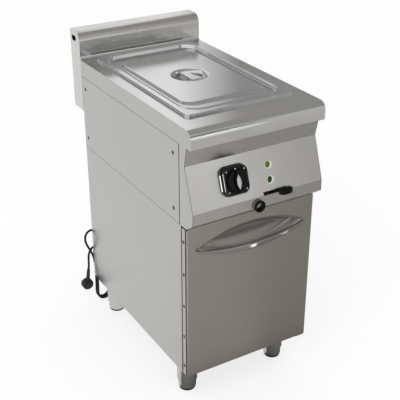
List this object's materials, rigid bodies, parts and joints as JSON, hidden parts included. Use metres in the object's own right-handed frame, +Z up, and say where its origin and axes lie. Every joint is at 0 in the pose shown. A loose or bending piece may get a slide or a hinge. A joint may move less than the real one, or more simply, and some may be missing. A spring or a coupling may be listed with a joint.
{
  "type": "bain-marie",
  "caption": "Floor-standing bain-marie: lidded gastronorm well in a worktop with a splash box, sloping control panel with a drain lever, and a bow-handled door cabinet on adjustable legs.",
  "frame": {"origin": "on the floor, at the middle of the footprint without the cord", "axes": "+X to the right of someone facing the controls, +Y towards the back, +Z up"},
  "size_m": [0.4415, 0.7268, 0.93],
  "materials": {
    "panel_steel": "satin",
    "door_steel": "satin, grain across the door",
    "drawn_steel": "bright satin",
    "polished_steel": "polished",
    "heater_sheath": "dull",
    "valve_brass": "machined",
    "black_gloss": "gloss",
    "black_matte": "matte",
    "black_rubber": "matte",
    "amber_lens": "clear lens",
    "green_lens": "clear lens"
  },
  "bodies": {
    "counter": {"worktop": "panel_steel", "water_tank": "drawn_steel", "splash_box": "panel_steel", "splash_end_left": "panel_steel", "splash_end_right": "panel_steel", "side_panel_left": "panel_steel", "side_panel_right": "panel_steel", "side_screws": "polished_steel", "upper_back": "panel_steel", "divider_tray": "panel_steel", "control_panel": "panel_steel", "control_cheek_left": "panel_steel", "control_cheek_right": "panel_steel", "thermostat_body": "black_matte", "knob_bezel": "black_gloss", "lamp_amber": "amber_lens", "lamp_green": "green_lens", "false_bottom": "drawn_steel", "heater": "heater_sheath", "thermostat_bulb": "heater_sheath", "drain_pipe": "polished_steel", "valve_body": "valve_brass", "outlet_spout": "polished_steel", "cabinet_side_left": "panel_steel", "cabinet_side_right": "panel_steel", "cabinet_back": "panel_steel", "cabinet_floor": "panel_steel", "front_rail": "panel_steel", "hinge_brackets": "polished_steel", "door_catch": "black_matte", "leg_sleeves": "drawn_steel", "cord_gland": "black_matte", "terminal_block": "black_matte", "supply_cord": "black_rubber", "cord_tail": "black_rubber", "cord_hank": "black_rubber", "plug": "black_matte"},
    "thermostat_dial": {"thermostat_knob": "black_gloss", "knob_insert": "polished_steel", "thermostat_shaft": "polished_steel"},
    "drain_lever": {"valve_ball": "valve_brass", "lever_arm": "black_gloss", "lever_grip": "black_gloss"},
    "pan": {"gn_pan": "drawn_steel"},
    "cover": {"lid": "drawn_steel", "lid_grip": "drawn_steel"},
    "door": {"door_skin": "door_steel", "door_frame": "door_steel", "door_screws": "polished_steel", "door_handle": "polished_steel", "hinge_bushes": "valve_brass", "door_strike": "polished_steel"},
    "levelling_foot_front_left": {"foot_front_left": "drawn_steel", "foot_pad_front_left": "black_rubber"},
    "levelling_foot_front_right": {"foot_front_right": "drawn_steel", "foot_pad_front_right": "black_rubber"},
    "levelling_foot_rear_left": {"foot_rear_left": "drawn_steel", "foot_pad_rear_left": "black_rubber"},
    "levelling_foot_rear_right": {"foot_rear_right": "drawn_steel", "foot_pad_rear_right": "black_rubber"}
  },
  "joints": [
    {"name": "door_hinge", "type": "hinge", "parent": "counter", "child": "door", "pos_m": [0.1915, -0.30212, 0.344], "axis": [0, 0, 1], "range_deg": [0, 110]},
    {"name": "pan_lift", "type": "slide", "parent": "counter", "child": "pan", "axis": [0, 0, 1], "range_m": [0, 0.2]},
    {"name": "lid_lift", "type": "slide", "parent": "pan", "child": "cover", "axis": [0, 0, 1], "range_m": [0, 0.15]},
    {"name": "thermostat_turn", "type": "hinge", "parent": "counter", "child": "thermostat_dial", "pos_m": [-0.068, -0.32223, 0.6892], "axis": [0, 0.9445, -0.3285], "range_deg": [0, 270]},
    {"name": "drain_turn", "type": "hinge", "parent": "counter", "child": "drain_lever", "pos_m": [0.031, -0.32256, 0.6365], "axis": [0, 0, -1], "range_deg": [0, 90]},
    {"name": "level_front_left", "type": "slide", "parent": "counter", "child": "levelling_foot_front_left", "axis": [0, 0, -1], "range_m": [0, 0.03]},
    {"name": "level_front_right", "type": "slide", "parent": "counter", "child": "levelling_foot_front_right", "axis": [0, 0, -1], "range_m": [0, 0.03]},
    {"name": "level_rear_left", "type": "slide", "parent": "counter", "child": "levelling_foot_rear_left", "axis": [0, 0, -1], "range_m": [0, 0.03]},
    {"name": "level_rear_right", "type": "slide", "parent": "counter", "child": "levelling_foot_rear_right", "axis": [0, 0, -1], "range_m": [0, 0.03]}
  ]
}
